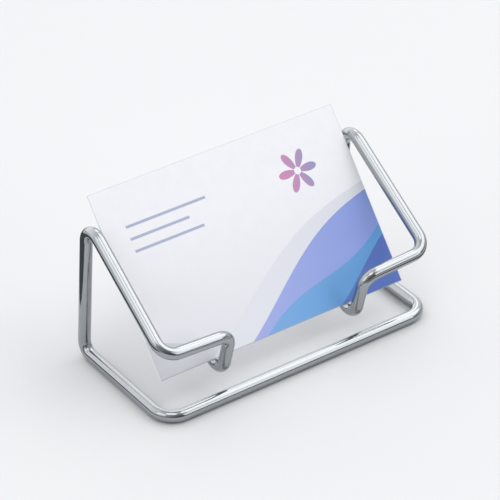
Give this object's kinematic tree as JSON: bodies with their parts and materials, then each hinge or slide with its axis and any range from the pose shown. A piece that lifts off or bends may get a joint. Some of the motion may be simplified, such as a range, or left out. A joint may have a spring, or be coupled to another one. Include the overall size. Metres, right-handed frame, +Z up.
{
  "type": "business card holder stand",
  "caption": "Desk stand bent from chrome-plated wire, with uprights, sloping arms and hooked lips that hold a business card at a reading slope.",
  "frame": {"origin": "on the desk, in the middle of the box round stand and card", "axes": "+X to the right of someone who reads the card, +Y to the back, +Z up"},
  "size_m": [0.0956, 0.0452, 0.0513],
  "materials": {
    "chrome_wire": "bright chrome plating on round steel wire",
    "printed_card": "uncoated white card with a blue print on its front"
  },
  "bodies": {
    "stand": {"wire_frame": "chrome_wire"},
    "card": {"business_card": "printed_card"}
  },
  "joints": [
    {"name": "card_lift", "type": "slide", "parent": "stand", "child": "card", "axis": [0, 0.6521, 0.7581], "range_m": [0, 0.06]}
  ]
}
